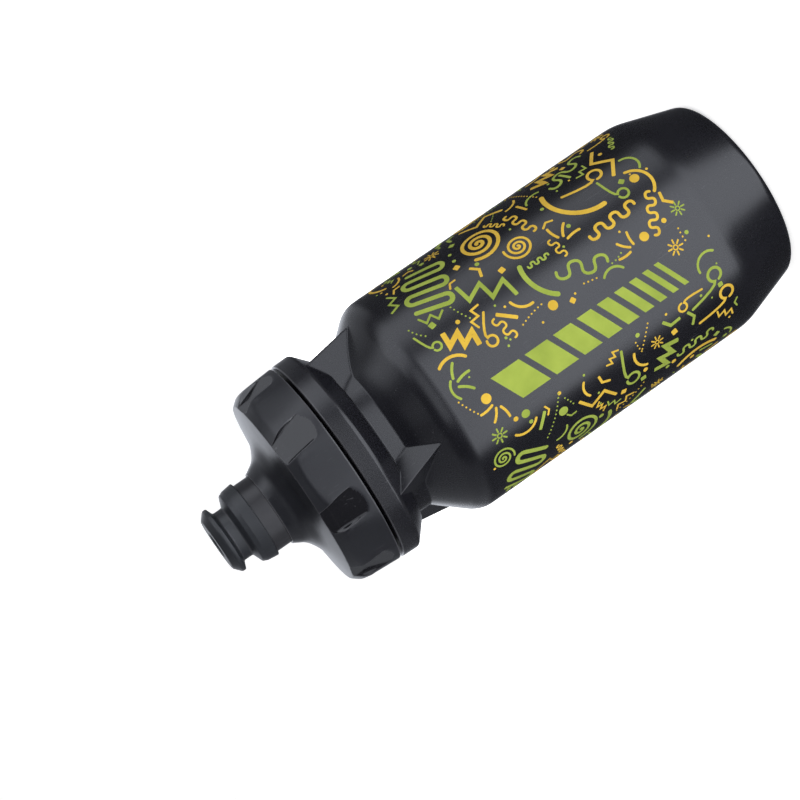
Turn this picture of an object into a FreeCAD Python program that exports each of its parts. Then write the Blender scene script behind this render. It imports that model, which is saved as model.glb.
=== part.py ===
"""A squeeze bottle for a bicycle cage: a bottle with a finned neck, a screw cap with a grip rim,
and a push-pull spout.

The origin is at the middle of the base, on the surface that the bottle stands on, and +Z runs up
the bottle's axis to the spout. The spout is drawn pulled open. All sizes are in millimetres.
"""

import FreeCAD, Part
import math
import os
import Sketcher

PARTS_FOLDER = "parts"
# An edge counts as found when its radius and height together are this near to those asked for.
EDGE_MISS = 0.01

# Driving dimensions. A name that ends in _r is a radius from the axis, and one that ends in _z is a
# height above the base. Anything else is a length, a thickness, a count or an angle.
DIMENSIONS = {
    # bottle, outside
    "base_r": 30.0,
    "base_corner": 4.0,
    "foot_r": 22.0,
    "push_up_r": 18.0,
    "push_up_z": 3.0,
    "push_up_top_z": 4.0,
    "push_up_soft": 1.2,
    "body_r": 36.75,
    "taper_z": 21.6,
    "taper_soft": 20.0,
    "shoulder_z": 122.1,
    "shoulder_soft": 10.0,
    "waist_r": 26.4,
    "waist_low_z": 134.0,
    "waist_top_z": 138.9,
    "ring_low_r": 29.0,
    "ring_low_z": 139.4,
    "ring_r": 34.55,
    "ring_side_z": 144.3,
    "ring_top_z": 150.1,
    "ring_soft": 1.6,
    "ring_edge": 0.5,
    "finish_r": 28.8,
    "finish_top_z": 162.3,
    "finish_edge": 0.4,
    # bottle, inside
    "floor_wall": 1.4,
    "inner_base_r": 29.1,
    "inner_body_r": 35.5,
    "inner_shoulder_z": 121.6,
    "inner_waist_r": 24.9,
    "inner_waist_z": 133.8,
    "inner_finish_r": 27.0,
    "inner_finish_z": 142.0,
    "inner_push_up_offset": 0.6,
    "inner_round_less": 1.2,
    "hollow_past_rim": 1.0,
    # fins between the shoulder and the ring
    "fin_count": 4,
    "fin_ridge_r": 33.9,
    "fin_root_r": 25.6,
    "fin_half_width": 6.5,
    "fin_low_z": 121.2,
    "fin_top_z": 146.2,
    "fin_root_depth": 1.2,
    # screw thread
    "thread_pitch": 6.0,
    "thread_depth": 1.4,
    "thread_root": 3.0,
    "thread_crest": 1.6,
    "thread_bite": 0.4,
    "neck_thread_z": 154.2,
    "neck_thread_rise": 6.6,
    "cap_thread_rise": 7.0,
    # cap
    "cap_low_z": 151.1,
    "cap_low_r": 34.4,
    "cap_high_r": 34.0,
    "cap_side_z": 162.6,
    "rim_r": 31.0,
    "rim_z": 166.2,
    "flare_r": 14.0,
    "flare_z": 170.4,
    "flare_soft": 8.0,
    "lip_r": 12.5,
    "lip_z": 174.6,
    "cap_bore_r": 30.6,
    "seat_z": 164.3,
    "plug_r": 26.7,
    "plug_wall": 1.2,
    "plug_low_z": 160.2,
    "cap_roof": 2.0,
    "guide_r": 11.85,
    "guide_stop_z": 166.2,
    "guide_step": 0.2,
    "tube_bore_r": 12.65,
    "tube_r": 14.1,
    "tube_low_z": 157.2,
    # grip on the cap's side
    "grip_count": 8,
    "flat_low": 34.35,
    "flat_high": 32.85,
    "flat_half_length": 14.0,
    "cutter_beyond": 2.0,
    "cutter_over": 1.0,
    "pocket_top_r": 32.0,
    "pocket_top_z": 163.3,
    "pocket_low_r": 33.85,
    "pocket_low_z": 152.6,
    "pocket_mid_z": 160.0,
    "pocket_top_left": 4.9,
    "pocket_top_right": 2.4,
    "pocket_mid_right": 4.6,
    "pocket_low_left": 3.2,
    "pocket_low_right": 5.6,
    # gasket
    "gasket_in_r": 27.0,
    "gasket_out_r": 30.3,
    "gasket_low_z": 162.5,
    "gasket_thick": 1.6,
    "gasket_bead": 0.3,
    # spout carrier
    "stem_r": 11.75,
    "stem_bore_r": 9.6,
    "stem_low_z": 164.6,
    "bead_r": 12.3,
    "bead_top_z": 165.8,
    "bead_chamfer": 0.4,
    "bead_land": 0.5,
    "stem_top_z": 181.5,
    "stem_roof": 1.5,
    "spout_neck_r": 7.2,
    "spout_neck_bore_r": 5.9,
    "spout_neck_top_z": 189.7,
    "seal_z": 172.0,
    "seal_ring_r": 11.12,
    "seal_section": 0.7,
    "seal_groove_r": 10.42,
    "seal_groove_height": 1.7,
    # bite tip
    "orifice_r": 3.3,
    "orifice_mouth_r": 4.5,
    "orifice_mouth_z": 192.7,
    "tip_z": 193.5,
    "tip_flat_r": 8.4,
    "tip_flange_r": 10.75,
    "tip_shoulder_z": 191.5,
    "tip_flange_z": 190.3,
    "tip_groove_r": 8.35,
    "tip_groove_top_z": 189.3,
    "tip_groove_low_z": 186.2,
    "grip_ring_top_r": 11.6,
    "grip_ring_top_z": 184.9,
    "grip_ring_side_r": 12.3,
    "grip_ring_side_z": 183.4,
    "grip_ring_low_r": 12.75,
    "grip_ring_low_z": 179.8,
    "tip_soft": 0.9,
    "groove_soft": 0.7,
    "tip_edge": 0.35,
    # valve post
    "post_r": 2.7,
    "post_head_r": 3.2,
    "post_head_low_z": 184.2,
    "post_top_z": 188.8,
    "post_round": 1.2,
    "post_head_slope": 1.0,
    "post_flange_z": 156.2,
    "post_ring_top_z": 159.2,
    "post_ring_bore_r": 11.2,
    "spoke_count": 3,
    "spoke_width": 2.2,
    "spoke_top_z": 158.8,
    "hub_r": 3.8,
    "hub_slope": 1.5,
    "spoke_bite": 0.5,
}

# The fins lean as they climb: each ridge turns by FIN_LEAN about the axis, clockwise seen from above,
# between its low and its top end. FIN_START is the azimuth of the first fin at mid height.
FIN_LEAN = 15.0
FIN_START = -116.8
# The cap's thread starts this far round from the neck's, so that its turns lie between the neck's.
CAP_THREAD_START = 135.0


class Size:
    """A length worked out from the sheet: its value now, and the expression that keeps it bound."""

    def __init__(self, value, text):
        self.value = value
        self.text = text

    def combine(self, other, sign, value):
        text = other.text if isinstance(other, Size) else repr(float(other))
        return Size(value, f"({self.text} {sign} {text})")

    def __add__(self, other):
        return self.combine(other, "+", self.value + number(other))

    def __sub__(self, other):
        return self.combine(other, "-", self.value - number(other))

    def __mul__(self, other):
        return self.combine(other, "*", self.value * number(other))

    def __truediv__(self, other):
        return self.combine(other, "/", self.value / number(other))


def number(length):
    """A size's value, or the number itself."""
    return length.value if isinstance(length, Size) else float(length)


doc = FreeCAD.newDocument("squeeze_bottle")
sheet = doc.addObject("Spreadsheet::Sheet", "Sizes")
D = {}
for row, (name, value) in enumerate(DIMENSIONS.items(), start=1):
    sheet.set(f"A{row}", name)
    sheet.set(f"B{row}", str(value))
    sheet.setAlias(f"B{row}", name)
    D[name] = Size(float(value), f"Sizes.{name}")
doc.recompute()

ZERO = Size(0.0, "0")


# ---------------------------------------------------------------- tools


def bind(feature, prop, size):
    """Sets a property from a size, and keeps it bound to the sheet."""
    feature.setExpression(prop, size.text)


def origin_plane(body, role):
    """One of the body's own origin planes, such as XZ_Plane."""
    return next(f for f in body.Origin.OriginFeatures if f.Role == role)


def new_body(label):
    body = doc.addObject("PartDesign::Body", label)
    body.Label = label
    return body


def draw_outline(body, name, corners, role="XZ_Plane", offset=None):
    """A closed outline of straight lines through the corners. Both places of each corner are bound."""
    sketch = body.newObject("Sketcher::SketchObject", name)
    sketch.AttachmentSupport = [(origin_plane(body, role), "")]
    sketch.MapMode = "FlatFace"
    if offset is not None:
        sketch.AttachmentOffset = offset
    points = [FreeCAD.Vector(number(x), number(y), 0) for x, y in corners]
    count = len(points)
    for i in range(count):
        sketch.addGeometry(Part.LineSegment(points[i], points[(i + 1) % count]), False)
    for i in range(count):
        sketch.addConstraint(Sketcher.Constraint("Coincident", i, 2, (i + 1) % count, 1))
    for i, (x, y) in enumerate(corners):
        for kind, size in (("DistanceX", x), ("DistanceY", y)):
            place = sketch.addConstraint(Sketcher.Constraint(kind, -1, 1, i, 1, number(size)))
            if isinstance(size, Size) and size is not ZERO:
                sketch.setExpression(f"Constraints[{place}]", size.text)
    doc.recompute()
    return sketch


def turned(body, kind, name, sketch):
    """A full turn of the outline about the axis: a PartDesign Revolution or Groove."""
    feature = body.newObject(f"PartDesign::{kind}", name)
    feature.Profile = sketch
    feature.ReferenceAxis = (sketch, ["V_Axis"])
    feature.Angle = 360
    sketch.Visibility = False
    doc.recompute()
    return feature


def ring_edges(shape, rings):
    """The names of the circular edges at the given radii and heights."""
    found = []
    for ring_r, ring_z in rings:
        near = []
        for i, edge in enumerate(shape.Edges, start=1):
            if not isinstance(edge.Curve, Part.Circle):
                continue
            miss = abs(edge.Curve.Radius - number(ring_r)) + abs(edge.Curve.Center.z - number(ring_z))
            near.append((miss, f"Edge{i}"))
        miss, edge_name = min(near)
        if miss > EDGE_MISS:
            raise ValueError(f"no edge at radius {number(ring_r)} and height {number(ring_z)}")
        found.append(edge_name)
    return found


def softened(body, name, rings, size, kind="Fillet"):
    """Rounds or chamfers the circular edges at these radii and heights."""
    base = body.Tip
    feature = body.newObject(f"PartDesign::{kind}", name)
    feature.Base = (base, ring_edges(base.Shape, rings))
    bind(feature, "Radius" if kind == "Fillet" else "Size", size)
    doc.recompute()
    return feature


def polar(body, name, feature, count):
    """The feature, repeated evenly round the axis."""
    pattern = body.newObject("PartDesign::PolarPattern", name)
    pattern.Originals = [feature]
    pattern.Axis = (next(f for f in body.Origin.OriginFeatures if f.Role == "Z_Axis"), [""])
    pattern.Angle = 360
    bind(pattern, "Occurrences", count)
    body.Tip = pattern
    doc.recompute()
    return pattern


def helical(body, name, corners, rise):
    """A right-hand thread rib of this section, climbing by one pitch for each turn."""
    sketch = draw_outline(body, f"{name}_section", corners)
    rib = body.newObject("PartDesign::AdditiveHelix", name)
    rib.Profile = sketch
    rib.ReferenceAxis = (sketch, ["V_Axis"])
    rib.Mode = "pitch-height-angle"
    bind(rib, "Pitch", D["thread_pitch"])
    bind(rib, "Height", rise)
    rib.Angle = 0
    rib.LeftHanded = False
    rib.Reversed = False
    sketch.Visibility = False
    doc.recompute()
    return rib


# ---------------------------------------------------------------- bottle


def make_bottle():
    """The blown bottle: a hollow shell with a pushed-up base, a shoulder, a finned waist below a
    solid ring, and a threaded neck."""
    body = new_body("bottle_body")
    outside = draw_outline(
        body,
        "bottle_outside",
        [
            (ZERO, D["push_up_top_z"]),
            (D["push_up_r"], D["push_up_z"]),
            (D["foot_r"], ZERO),
            (D["base_r"], ZERO),
            (D["body_r"], D["taper_z"]),
            (D["body_r"], D["shoulder_z"]),
            (D["waist_r"], D["waist_low_z"]),
            (D["waist_r"], D["waist_top_z"]),
            (D["ring_low_r"], D["ring_low_z"]),
            (D["ring_r"], D["ring_side_z"]),
            (D["ring_r"], D["ring_top_z"]),
            (D["finish_r"], D["ring_top_z"]),
            (D["finish_r"], D["finish_top_z"]),
            (ZERO, D["finish_top_z"]),
        ],
    )
    turned(body, "Revolution", "bottle_blank", outside)
    softened(body, "base_corner_round", [(D["base_r"], ZERO)], D["base_corner"])
    softened(body, "taper_round", [(D["body_r"], D["taper_z"])], D["taper_soft"])
    softened(body, "shoulder_round", [(D["body_r"], D["shoulder_z"])], D["shoulder_soft"])
    softened(body, "ring_round", [(D["ring_r"], D["ring_side_z"])], D["ring_soft"])
    softened(body, "ring_edge_round", [(D["ring_r"], D["ring_top_z"])], D["ring_edge"])
    push_up = [(D["push_up_r"], D["push_up_z"]), (D["foot_r"], ZERO)]
    softened(body, "push_up_round", push_up, D["push_up_soft"])
    add_fins(body)
    inner_floor_z = D["floor_wall"]
    past_rim_z = D["finish_top_z"] + D["hollow_past_rim"]
    inside = draw_outline(
        body,
        "bottle_inside",
        [
            (ZERO, D["push_up_top_z"] + D["floor_wall"]),
            (D["push_up_r"] - D["inner_push_up_offset"], D["push_up_z"] + D["floor_wall"]),
            (D["foot_r"] - D["inner_push_up_offset"], inner_floor_z),
            (D["inner_base_r"], inner_floor_z),
            (D["inner_body_r"], D["taper_z"]),
            (D["inner_body_r"], D["inner_shoulder_z"]),
            (D["inner_waist_r"], D["inner_waist_z"]),
            (D["inner_waist_r"], D["waist_top_z"]),
            (D["inner_finish_r"], D["inner_finish_z"]),
            (D["inner_finish_r"], past_rim_z),
            (ZERO, past_rim_z),
        ],
    )
    before = body.Shape.Volume
    turned(body, "Groove", "bottle_hollow", inside)
    if body.Shape.Volume > before / 2:
        raise ValueError("the bottle wasn't hollowed")
    less = D["inner_round_less"]
    inner_shoulder = [(D["inner_body_r"], D["inner_shoulder_z"])]
    softened(body, "inner_shoulder_round", inner_shoulder, D["shoulder_soft"] - less)
    inner_corner = [(D["inner_base_r"], inner_floor_z)]
    softened(body, "inner_base_round", inner_corner, D["base_corner"] - less)
    rims = [(D["finish_r"], D["finish_top_z"]), (D["inner_finish_r"], D["finish_top_z"])]
    softened(body, "neck_rim_round", rims, D["finish_edge"])
    root_r = D["finish_r"] - D["thread_bite"]
    crest_r = D["finish_r"] + D["thread_depth"]
    low = D["neck_thread_z"]
    helical(
        body,
        "neck_thread",
        [
            (root_r, low - D["thread_root"] / 2),
            (crest_r, low - D["thread_crest"] / 2),
            (crest_r, low + D["thread_crest"] / 2),
            (root_r, low + D["thread_root"] / 2),
        ],
        D["neck_thread_rise"],
    )
    return body


def add_fins(body):
    """Sharp three-sided fins that rise from the shoulder to the ring, and lean as they climb."""
    rise = D["fin_top_z"] - D["fin_low_z"]
    lean = FreeCAD.Rotation(FreeCAD.Vector(0, 0, 1), FIN_START + FIN_LEAN / 2)
    start = FreeCAD.Placement(FreeCAD.Vector(0, 0, number(D["fin_low_z"])), lean)
    buried_r = D["fin_root_r"] - D["fin_root_depth"]
    section = draw_outline(
        body,
        "fin_section",
        [
            (D["fin_ridge_r"], ZERO),
            (D["fin_root_r"], D["fin_half_width"]),
            (buried_r, D["fin_half_width"]),
            (buried_r, ZERO - D["fin_half_width"]),
            (D["fin_root_r"], ZERO - D["fin_half_width"]),
        ],
        role="XY_Plane",
        offset=start,
    )
    section.setExpression(".AttachmentOffset.Base.z", D["fin_low_z"].text)
    ridge_r = number(D["fin_ridge_r"])
    low_azimuth = math.radians(FIN_START + FIN_LEAN / 2)
    top_azimuth = math.radians(FIN_START - FIN_LEAN / 2)
    climb = FreeCAD.Vector(
        ridge_r * (math.cos(top_azimuth) - math.cos(low_azimuth)),
        ridge_r * (math.sin(top_azimuth) - math.sin(low_azimuth)),
        number(rise),
    )
    fin = body.newObject("PartDesign::Pad", "fin")
    fin.Profile = section
    fin.UseCustomVector = True
    fin.Direction = climb
    fin.AlongSketchNormal = True
    bind(fin, "Length", rise)
    section.Visibility = False
    doc.recompute()
    polar(body, "fins", fin, D["fin_count"])


# ---------------------------------------------------------------- cap


def make_cap():
    """The screw cap: a fluted skirt with an inner thread, a flared roof that rises to the spout's
    lip, a plug ring that stands inside the neck, and a tube that guides the spout."""
    body = new_body("cap_blank")
    roof_slope = (D["flare_z"] - D["rim_z"]) / (D["rim_r"] - D["flare_r"])
    inner_plug_r = D["plug_r"] - D["plug_wall"]
    roof_at_plug = D["rim_z"] + (D["rim_r"] - inner_plug_r) * roof_slope - D["cap_roof"]
    roof_at_tube = D["flare_z"] - D["cap_roof"]
    outline = draw_outline(
        body,
        "cap_outline",
        [
            (D["cap_low_r"], D["cap_low_z"]),
            (D["cap_high_r"], D["cap_side_z"]),
            (D["rim_r"], D["rim_z"]),
            (D["flare_r"], D["flare_z"]),
            (D["lip_r"], D["lip_z"]),
            (D["guide_r"], D["lip_z"]),
            (D["guide_r"], D["guide_stop_z"]),
            (D["tube_bore_r"], D["guide_stop_z"] - D["guide_step"]),
            (D["tube_bore_r"], D["tube_low_z"]),
            (D["tube_r"], D["tube_low_z"]),
            (D["tube_r"], roof_at_tube),
            (inner_plug_r, roof_at_plug),
            (inner_plug_r, D["plug_low_z"]),
            (D["plug_r"], D["plug_low_z"]),
            (D["plug_r"], D["seat_z"]),
            (D["cap_bore_r"], D["seat_z"]),
            (D["cap_bore_r"], D["cap_low_z"]),
        ],
    )
    turned(body, "Revolution", "cap_turned", outline)
    softened(body, "flare_round", [(D["flare_r"], D["flare_z"])], D["flare_soft"])
    cut_flats(body)
    root_r = D["cap_bore_r"] + D["thread_bite"]
    crest_r = D["cap_bore_r"] - D["thread_depth"]
    low = D["neck_thread_z"] + D["thread_pitch"] * (CAP_THREAD_START / 360) - D["thread_pitch"] / 2
    helical(
        body,
        "cap_thread",
        [
            (root_r, low - D["thread_root"] / 2),
            (crest_r, low - D["thread_crest"] / 2),
            (crest_r, low + D["thread_crest"] / 2),
            (root_r, low + D["thread_root"] / 2),
        ],
        D["cap_thread_rise"],
    )
    cap = doc.addObject("Part::Cut", "cap_shell")
    cap.Label = "cap_shell"
    cap.Base = body
    cap.Tool = grip_pockets()
    doc.recompute()
    turn = FreeCAD.Rotation(FreeCAD.Vector(0, 0, 1), CAP_THREAD_START)
    cap.Placement = FreeCAD.Placement(FreeCAD.Vector(0, 0, 0), turn)
    return cap


def cut_flats(body):
    """Flat faces round the skirt, which lean in towards the roof."""
    beyond = D["cap_low_r"] + D["cutter_beyond"]
    sketch = draw_outline(
        body,
        "flat_section",
        [
            (D["flat_low"], D["cap_low_z"]),
            (D["flat_high"], D["rim_z"]),
            (beyond, D["rim_z"]),
            (beyond, D["cap_low_z"]),
        ],
    )
    before = body.Shape.Volume
    flat = body.newObject("PartDesign::Pocket", "flat")
    flat.Profile = sketch
    flat.Type = "Length"
    flat.SideType = "Symmetric"
    bind(flat, "Length", D["flat_half_length"] * 2)
    sketch.Visibility = False
    doc.recompute()
    if body.Shape.Volume >= before:
        raise ValueError("the flats cut nothing")
    polar(body, "flats", flat, D["grip_count"])


def grip_pockets():
    """The eight slanted finger pockets between the flats, as one cutting tool: a ring whose inner
    face is the pockets' floor, kept only inside eight four-sided blocks."""
    ring = new_body("pocket_ring")
    beyond = D["cap_low_r"] + D["cutter_beyond"]
    above = D["rim_z"] + D["cutter_over"]
    floor = draw_outline(
        ring,
        "pocket_floor",
        [
            (D["pocket_low_r"], D["pocket_low_z"]),
            (D["pocket_top_r"], D["pocket_top_z"]),
            (D["rim_r"], D["rim_z"]),
            (D["rim_r"], above),
            (beyond, above),
            (beyond, D["pocket_low_z"]),
        ],
    )
    turned(ring, "Revolution", "pocket_ring_turned", floor)
    blocks = new_body("pocket_blocks")
    azimuth = math.radians(180 / number(D["grip_count"]))
    outward = FreeCAD.Vector(math.cos(azimuth), math.sin(azimuth), 0)
    along = FreeCAD.Vector(-math.sin(azimuth), math.cos(azimuth), 0)
    up = FreeCAD.Vector(0, 0, 1)
    facing = FreeCAD.Rotation(along, up, outward, "ZXY")
    inside_r = number(D["plug_r"])
    below = D["pocket_low_z"] - D["cutter_over"]
    sketch = draw_outline(
        blocks,
        "pocket_shape",
        [
            (D["pocket_top_right"], above),
            (ZERO - D["pocket_top_left"], above),
            (ZERO - D["pocket_low_left"], below),
            (D["pocket_low_right"], below),
            (D["pocket_mid_right"], D["pocket_mid_z"]),
        ],
        role="XY_Plane",
        offset=FreeCAD.Placement(outward * inside_r, facing),
    )
    block = blocks.newObject("PartDesign::Pad", "pocket_block")
    block.Profile = sketch
    bind(block, "Length", beyond - D["plug_r"] + D["cutter_over"])
    sketch.Visibility = False
    doc.recompute()
    polar(blocks, "pocket_blocks_round", block, D["grip_count"])
    tool = doc.addObject("Part::MultiCommon", "pocket_tool")
    tool.Shapes = [ring, blocks]
    doc.recompute()
    return tool


def make_gasket():
    """The flat seal under the cap's roof, which presses on the neck's rim."""
    body = new_body("cap_gasket")
    top = D["gasket_low_z"] + D["gasket_thick"]
    corners = [
        (D["gasket_in_r"], D["gasket_low_z"]),
        (D["gasket_out_r"], D["gasket_low_z"]),
        (D["gasket_out_r"], top),
        (D["gasket_in_r"], top),
    ]
    outline = draw_outline(body, "gasket_outline", corners)
    turned(body, "Revolution", "gasket_turned", outline)
    softened(body, "gasket_round", corners, D["gasket_bead"])
    return body


# ---------------------------------------------------------------- spout


def make_carrier():
    """The hard core of the spout: a stem that slides in the cap's guide, with a stop bead at its
    low end, a groove for the seal ring, and a thin neck that holds the bite tip."""
    body = new_body("spout_carrier")
    groove_low = D["seal_z"] - D["seal_groove_height"] / 2
    groove_top = D["seal_z"] + D["seal_groove_height"] / 2
    roof_low = D["stem_top_z"] - D["stem_roof"]
    outline = draw_outline(
        body,
        "carrier_outline",
        [
            (D["stem_bore_r"], D["stem_low_z"]),
            (D["bead_r"] - D["bead_chamfer"], D["stem_low_z"]),
            (D["bead_r"], D["bead_top_z"] - D["bead_land"]),
            (D["bead_r"], D["bead_top_z"]),
            (D["stem_r"], D["bead_top_z"]),
            (D["stem_r"], groove_low),
            (D["seal_groove_r"], groove_low),
            (D["seal_groove_r"], groove_top),
            (D["stem_r"], groove_top),
            (D["stem_r"], D["stem_top_z"]),
            (D["spout_neck_r"], D["stem_top_z"]),
            (D["spout_neck_r"], D["spout_neck_top_z"]),
            (D["spout_neck_bore_r"], D["spout_neck_top_z"]),
            (D["spout_neck_bore_r"], roof_low),
            (D["stem_bore_r"], roof_low),
        ],
    )
    turned(body, "Revolution", "carrier_turned", outline)
    return body


def make_bite_tip():
    """The soft mouthpiece: a rounded flange, a groove for the teeth and a thick grip ring."""
    body = new_body("bite_tip")
    outline = draw_outline(
        body,
        "tip_outline",
        [
            (D["orifice_r"], D["spout_neck_top_z"]),
            (D["orifice_r"], D["orifice_mouth_z"]),
            (D["orifice_mouth_r"], D["tip_z"]),
            (D["tip_flat_r"], D["tip_z"]),
            (D["tip_flange_r"], D["tip_shoulder_z"]),
            (D["tip_flange_r"], D["tip_flange_z"]),
            (D["tip_groove_r"], D["tip_groove_top_z"]),
            (D["tip_groove_r"], D["tip_groove_low_z"]),
            (D["grip_ring_top_r"], D["grip_ring_top_z"]),
            (D["grip_ring_side_r"], D["grip_ring_side_z"]),
            (D["grip_ring_low_r"], D["grip_ring_low_z"]),
            (D["stem_r"], D["grip_ring_low_z"]),
            (D["stem_r"], D["stem_top_z"]),
            (D["spout_neck_r"], D["stem_top_z"]),
            (D["spout_neck_r"], D["spout_neck_top_z"]),
        ],
    )
    turned(body, "Revolution", "tip_turned", outline)
    flange = [(D["tip_flat_r"], D["tip_z"]), (D["tip_flange_r"], D["tip_shoulder_z"])]
    softened(body, "tip_flange_round", flange, D["tip_soft"])
    groove = [
        (D["tip_groove_r"], D["tip_groove_top_z"]),
        (D["tip_groove_r"], D["tip_groove_low_z"]),
        (D["grip_ring_top_r"], D["grip_ring_top_z"]),
    ]
    softened(body, "tip_groove_round", groove, D["groove_soft"])
    edges = [(D["tip_flange_r"], D["tip_flange_z"]), (D["grip_ring_side_r"], D["grip_ring_side_z"])]
    softened(body, "tip_edge_round", edges, D["tip_edge"])
    return body


def make_seal_ring():
    """The round seal in the stem's groove, which wipes the cap's guide."""
    ring = doc.addObject("Part::Torus", "stem_seal")
    ring.Label = "stem_seal"
    bind(ring, "Radius1", D["seal_ring_r"])
    bind(ring, "Radius2", D["seal_section"])
    ring.setExpression("Placement.Base.z", D["seal_z"].text)
    doc.recompute()
    return ring


def make_valve_post():
    """The fixed post that plugs the tip's hole when the spout is pushed shut. Its ring is pressed
    into the low end of the cap's tube, and spokes leave room for the water."""
    body = new_body("valve_post")
    head_start = D["post_head_low_z"] - D["post_head_slope"]
    outline = draw_outline(
        body,
        "post_outline",
        [
            (ZERO, D["post_flange_z"]),
            (D["hub_r"], D["post_flange_z"]),
            (D["hub_r"], D["spoke_top_z"]),
            (D["post_r"], D["spoke_top_z"] + D["hub_slope"]),
            (D["post_r"], head_start),
            (D["post_head_r"], D["post_head_low_z"]),
            (D["post_head_r"], D["post_top_z"]),
            (ZERO, D["post_top_z"]),
        ],
    )
    turned(body, "Revolution", "post_turned", outline)
    softened(body, "post_round_top", [(D["post_head_r"], D["post_top_z"])], D["post_round"])
    half = D["spoke_width"] / 2
    spoke_section = draw_outline(
        body,
        "spoke_section",
        [
            (ZERO - half, D["post_flange_z"]),
            (half, D["post_flange_z"]),
            (half, D["spoke_top_z"]),
            (ZERO - half, D["spoke_top_z"]),
        ],
        role="YZ_Plane",
    )
    before = body.Shape.Volume
    spoke = body.newObject("PartDesign::Pad", "spoke")
    spoke.Profile = spoke_section
    bind(spoke, "Length", D["post_ring_bore_r"] + D["spoke_bite"])
    spoke_section.Visibility = False
    doc.recompute()
    if body.Shape.Volume <= before:
        raise ValueError("the spoke added nothing")
    polar(body, "spokes", spoke, D["spoke_count"])
    ring_outline = draw_outline(
        body,
        "post_ring_outline",
        [
            (D["post_ring_bore_r"], D["post_flange_z"]),
            (D["tube_r"], D["post_flange_z"]),
            (D["tube_r"], D["tube_low_z"]),
            (D["tube_bore_r"], D["tube_low_z"]),
            (D["tube_bore_r"], D["post_ring_top_z"]),
            (D["post_ring_bore_r"], D["post_ring_top_z"]),
        ],
    )
    turned(body, "Revolution", "post_ring", ring_outline)
    return body


# ---------------------------------------------------------------- checks and files


def write_parts(parts):
    """Stops if any object failed or any part isn't whole, and writes one file for each part."""
    doc.recompute()
    for item in doc.Objects:
        if "Invalid" in item.State or "Error" in item.State:
            raise ValueError(f"{item.Name} failed: {item.State}")
    for part in parts:
        if part.Shape.isNull() or not part.Shape.isValid():
            raise ValueError(f"{part.Label} has no valid shape")
        if len(part.Shape.Solids) != 1:
            raise ValueError(f"{part.Label} has {len(part.Shape.Solids)} solids, and should have 1")
    os.makedirs(PARTS_FOLDER, exist_ok=True)
    for part in parts:
        part.Shape.exportStep(os.path.join(PARTS_FOLDER, f"{part.Label}.step"))
        print(f"{part.Label}: {part.Shape.Volume / 1000:.2f} ml of material")


write_parts(
    [
        make_bottle(),
        make_cap(),
        make_gasket(),
        make_carrier(),
        make_bite_tip(),
        make_seal_ring(),
        make_valve_post(),
    ]
)
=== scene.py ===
import math
import random

import bpy
import numpy as np
from mathutils import Matrix, Vector


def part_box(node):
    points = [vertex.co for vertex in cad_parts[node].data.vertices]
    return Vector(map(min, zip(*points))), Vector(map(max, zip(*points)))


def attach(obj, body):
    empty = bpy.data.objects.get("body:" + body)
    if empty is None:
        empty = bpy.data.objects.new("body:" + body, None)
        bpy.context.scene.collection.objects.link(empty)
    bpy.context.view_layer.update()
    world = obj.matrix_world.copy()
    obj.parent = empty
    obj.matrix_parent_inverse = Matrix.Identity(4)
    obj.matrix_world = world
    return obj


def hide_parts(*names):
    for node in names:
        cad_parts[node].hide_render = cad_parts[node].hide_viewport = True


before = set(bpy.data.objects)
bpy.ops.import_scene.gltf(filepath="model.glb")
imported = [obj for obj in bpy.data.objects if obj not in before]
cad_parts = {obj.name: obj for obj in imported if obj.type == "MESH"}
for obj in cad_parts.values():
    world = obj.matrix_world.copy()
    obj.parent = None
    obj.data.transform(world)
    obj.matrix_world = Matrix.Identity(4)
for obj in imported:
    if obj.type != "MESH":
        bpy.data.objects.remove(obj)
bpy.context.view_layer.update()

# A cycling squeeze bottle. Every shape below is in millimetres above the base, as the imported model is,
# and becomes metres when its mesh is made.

MM = 0.001


def low_z(node):
    """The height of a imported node's lowest point, in millimetres."""
    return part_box(node)[0][2] / MM


def top_z(node):
    """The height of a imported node's highest point, in millimetres."""
    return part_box(node)[1][2] / MM


# The ink's film is as thick as INK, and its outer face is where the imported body's is.
INK = 0.03
INK_R = (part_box("bottle_body")[1][0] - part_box("bottle_body")[0][0]) / 2 / MM
BODY_R = INK_R - INK

# ------------------------ outlines


def rounded(corners, cyclic=False, step=9.0):
    """Points (r, z) through the corners (r, z, radius), with an arc of that radius at each corner."""
    count = len(corners)
    points = []
    for i, (r, z, radius) in enumerate(corners):
        end = not cyclic and i in (0, count - 1)
        if radius <= 0 or end:
            points.append((r, z))
            continue
        here = Vector((r, z))
        back = Vector(corners[i - 1][:2]) - here
        ahead = Vector(corners[(i + 1) % count][:2]) - here
        half = back.angle(ahead) / 2
        room = 0.49 * min(back.length, ahead.length)
        radius = min(radius, room * math.tan(half))
        centre = here + (back.normalized() + ahead.normalized()).normalized() * radius / math.sin(half)
        first = here + back.normalized() * radius / math.tan(half) - centre
        last = here + ahead.normalized() * radius / math.tan(half) - centre
        sweep = math.pi - 2 * half
        pieces = max(2, math.ceil(math.degrees(sweep) / step))
        for k in range(pieces + 1):
            t = k / pieces
            a = math.sin((1 - t) * sweep) / math.sin(sweep)
            b = math.sin(t * sweep) / math.sin(sweep)
            point = centre + first * a + last * b
            points.append((point.x, point.y))
    return points


def along(points):
    """The outline as a function from z to r. Its z must rise all the way."""
    heights = np.array([z for r, z in points])
    radii = np.array([r for r, z in points])
    return lambda z: np.interp(z, heights, radii)


def eased(count, power):
    """Fractions from 0 to 1, closer together near both ends."""
    u = np.linspace(0, 1, count + 1)
    return np.where(u < 0.5, 0.5 * (2 * u) ** power, 1 - 0.5 * (2 - 2 * u) ** power)


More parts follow.
